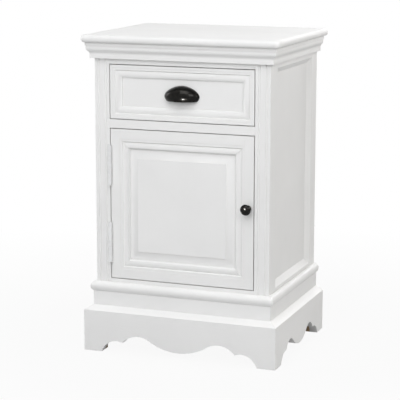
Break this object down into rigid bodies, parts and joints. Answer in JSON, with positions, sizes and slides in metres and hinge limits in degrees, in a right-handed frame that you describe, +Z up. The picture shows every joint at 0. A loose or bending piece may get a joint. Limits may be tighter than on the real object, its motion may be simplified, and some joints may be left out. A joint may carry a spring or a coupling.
{
  "type": "nightstand",
  "caption": "White painted wooden nightstand with a drawer above a hinged panel door, fluted front posts, moulded cornice and a scalloped plinth.",
  "frame": {"origin": "centre of the footprint on the floor", "axes": "+Z up; -Y is the front with the drawer and the door; +X is the right side seen from the front"},
  "size_m": [0.45, 0.36, 0.7],
  "materials": {
    "white_paint": "satin white paint",
    "bare_wood": "matt, unpainted",
    "dark_bronze": "dark antique bronze",
    "steel": "satin nickel plate",
    "catch_plastic": "matt"
  },
  "bodies": {
    "cabinet": {"top_board": "white_paint", "cornice_front": "white_paint", "cornice_left": "white_paint", "cornice_right": "white_paint", "front_post_left": "white_paint", "front_post_right": "white_paint", "rear_post_left": "white_paint", "rear_post_right": "white_paint", "top_rail": "white_paint", "middle_rail": "white_paint", "bottom_rail": "white_paint", "side_top_rail_left": "white_paint", "side_top_rail_right": "white_paint", "side_bottom_rail_left": "white_paint", "side_bottom_rail_right": "white_paint", "side_panel_left": "white_paint", "side_panel_right": "white_paint", "base_moulding_front": "white_paint", "base_moulding_left": "white_paint", "base_moulding_right": "white_paint", "plinth_front": "white_paint", "plinth_left": "white_paint", "plinth_right": "white_paint", "back_top_rail": "bare_wood", "back_bottom_rail": "bare_wood", "back_panel": "bare_wood", "cupboard_floor": "bare_wood", "drawer_runner_left": "bare_wood", "drawer_runner_right": "bare_wood", "drawer_kicker_left": "bare_wood", "drawer_kicker_right": "bare_wood", "drawer_stops": "bare_wood", "plinth_back": "bare_wood", "plinth_corner_blocks": "bare_wood", "hinge_leaf_cabinet_upper": "steel", "hinge_leaf_cabinet_lower": "steel", "magnetic_catch": "catch_plastic"},
    "drawer": {"drawer_front": "white_paint", "drawer_side_left": "bare_wood", "drawer_side_right": "bare_wood", "drawer_back": "bare_wood", "drawer_bottom": "bare_wood", "cup_pull": "dark_bronze", "cup_pull_screws": "steel"},
    "door": {"door_stile_left": "white_paint", "door_stile_right": "white_paint", "door_rail_top": "white_paint", "door_rail_bottom": "white_paint", "door_panel": "white_paint", "door_knob": "dark_bronze", "knob_screw": "steel", "hinge_leaf_door_upper": "steel", "hinge_leaf_door_lower": "steel", "hinge_pin_upper": "steel", "hinge_pin_lower": "steel", "strike_plate": "steel"}
  },
  "joints": [
    {"name": "drawer_slide", "type": "slide", "parent": "cabinet", "child": "drawer", "axis": [0, -1, 0], "range_m": [0, 0.22]},
    {"name": "door_hinge", "type": "hinge", "parent": "cabinet", "child": "door", "pos_m": [-0.16512, -0.1598, 0.331], "axis": [0, 0, -1], "range_deg": [0, 170]}
  ]
}
